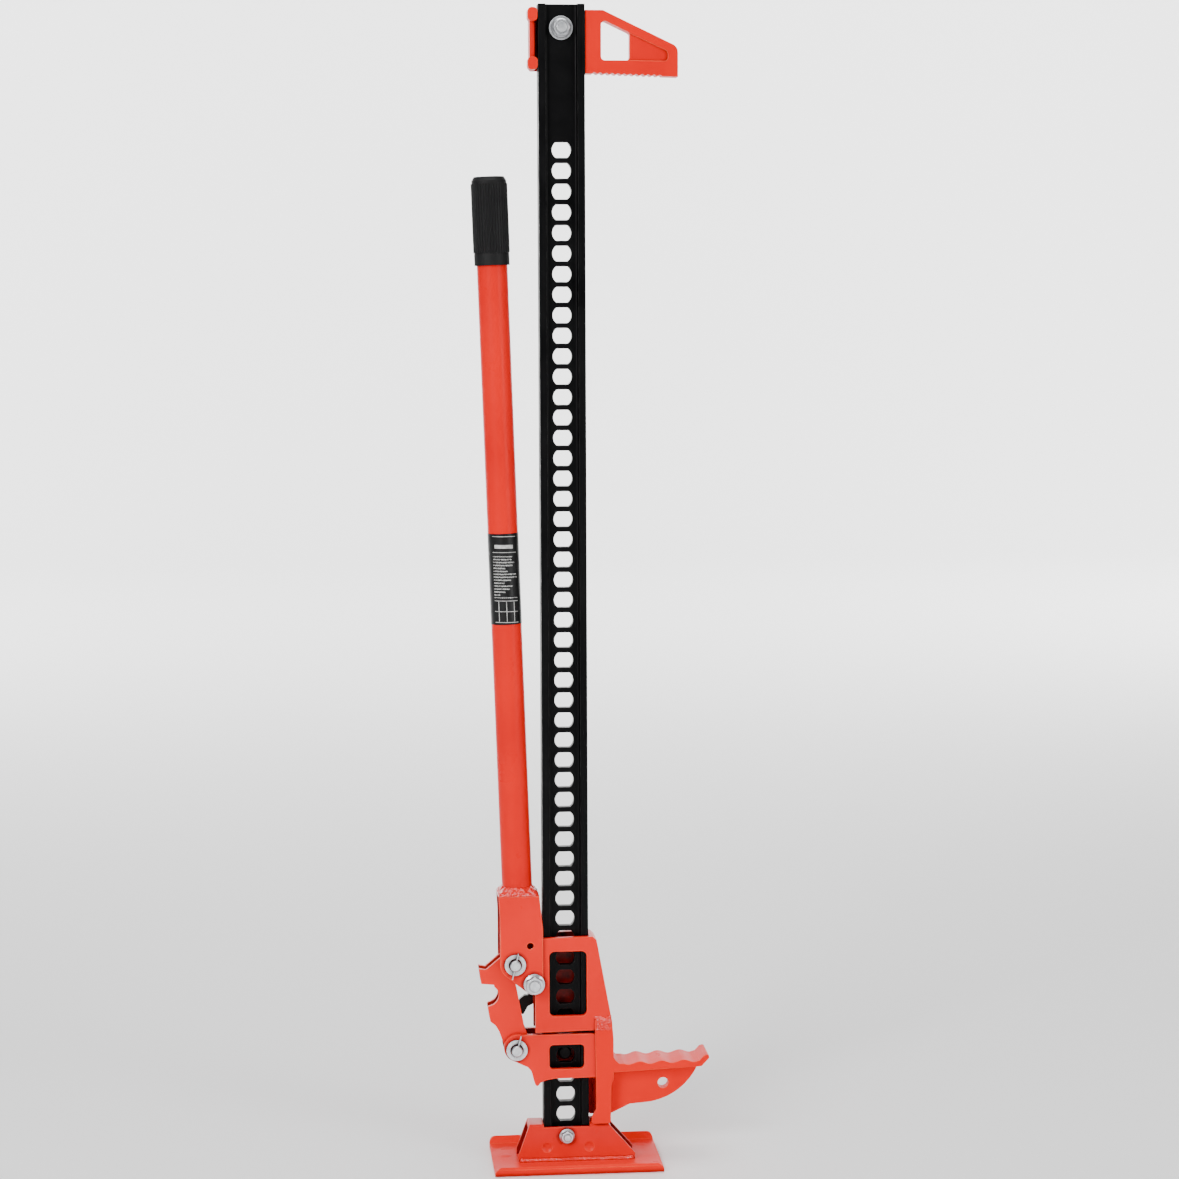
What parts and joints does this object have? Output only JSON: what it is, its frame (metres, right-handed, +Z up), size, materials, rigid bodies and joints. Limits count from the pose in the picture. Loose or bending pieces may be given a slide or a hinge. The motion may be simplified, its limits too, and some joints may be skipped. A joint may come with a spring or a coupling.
{
  "type": "farm jack",
  "caption": "Tall lever-operated farm jack: punched I-section bar on a flat base, climbing runners with a lifting toe, long handle and a top clamp.",
  "frame": {"origin": "on the ground under the axis of the bar, at the underside of the base plate", "axes": "+Z up along the bar, +X towards the lifting toe, +Y away from the nuts' side (the side seen in front)"},
  "size_m": [0.2465, 0.1257, 1.22],
  "materials": {
    "bar_black": "semi-gloss black powder coat",
    "red_paint": "semi-gloss orange-red paint",
    "zinc": "bright zinc plate",
    "pin_steel": "black oxide, lightly oiled",
    "spring_steel": "plain spring wire",
    "latch_black": "black oxide",
    "grip_rubber": "matt ribbed rubber",
    "label_film": "printed film"
  },
  "bodies": {
    "standard": {"standard_bar": "bar_black", "base_plate": "red_paint", "base_bracket": "red_paint", "bracket_welds": "red_paint", "base_bolt": "zinc", "base_nut": "zinc", "top_clamp": "red_paint", "clamp_bolt": "zinc", "clamp_nut": "zinc", "clamp_washer": "zinc"},
    "small_runner": {"small_runner": "red_paint", "lower_clevis_pin": "zinc", "lower_pin_washer": "zinc", "lower_cotter": "zinc", "lower_pin_spring": "spring_steel", "lower_spring_cap": "zinc"},
    "large_runner": {"large_runner": "red_paint", "nose_toe": "red_paint", "nose_welds": "red_paint", "pivot_bolt": "zinc", "pivot_nut": "zinc", "upper_pin_spring": "spring_steel", "upper_spring_cap": "zinc", "latch_screw": "zinc"},
    "handle": {"handle_socket": "red_paint", "socket_weld": "red_paint", "handle_tube": "red_paint", "handle_grip": "grip_rubber", "handle_label": "label_film", "upper_clevis_pin": "zinc", "upper_pin_washer": "zinc", "upper_cotter": "zinc"},
    "pitman": {"pitman": "red_paint"},
    "upper_climbing_pin": {"upper_climbing_pin": "pin_steel", "upper_cross_pin": "zinc"},
    "lower_climbing_pin": {"lower_climbing_pin": "pin_steel", "lower_cross_pin": "zinc"},
    "reversing_latch": {"reversing_latch": "latch_black"}
  },
  "joints": [
    {"name": "carriage_lift", "type": "slide", "parent": "standard", "child": "small_runner", "axis": [0, 0, 1], "range_m": [0, 0.82875]},
    {"name": "runner_rise", "type": "slide", "parent": "small_runner", "child": "large_runner", "axis": [0, 0, 1], "range_m": [0, 0.0425]},
    {"name": "handle_swing", "type": "hinge", "parent": "large_runner", "child": "handle", "pos_m": [-0.0345, 0, 0.198], "axis": [0, -1, 0], "range_deg": [0, 93.47]},
    {"name": "pitman_pivot", "type": "hinge", "parent": "handle", "child": "pitman", "pos_m": [-0.0545, 0, 0.21925], "axis": [0, -1, 0], "range_deg": [-93.48, 0]},
    {"name": "upper_pin_slide", "type": "slide", "parent": "large_runner", "child": "upper_climbing_pin", "axis": [0, 1, 0], "range_m": [-0.014, 0], "deforming": ["upper_pin_spring"]},
    {"name": "lower_pin_slide", "type": "slide", "parent": "small_runner", "child": "lower_climbing_pin", "axis": [0, 1, 0], "range_m": [-0.014, 0], "deforming": ["lower_pin_spring"]},
    {"name": "latch_flip", "type": "hinge", "parent": "large_runner", "child": "reversing_latch", "pos_m": [-0.022, 0, 0.178], "axis": [0, 1, 0], "range_deg": [0, 35]}
  ],
  "couplings": [
    {"joint": "runner_rise", "follows": "handle_swing", "m_per_rad": 0.026052},
    {"joint": "pitman_pivot", "follows": "handle_swing", "ratio": -1}
  ]
}
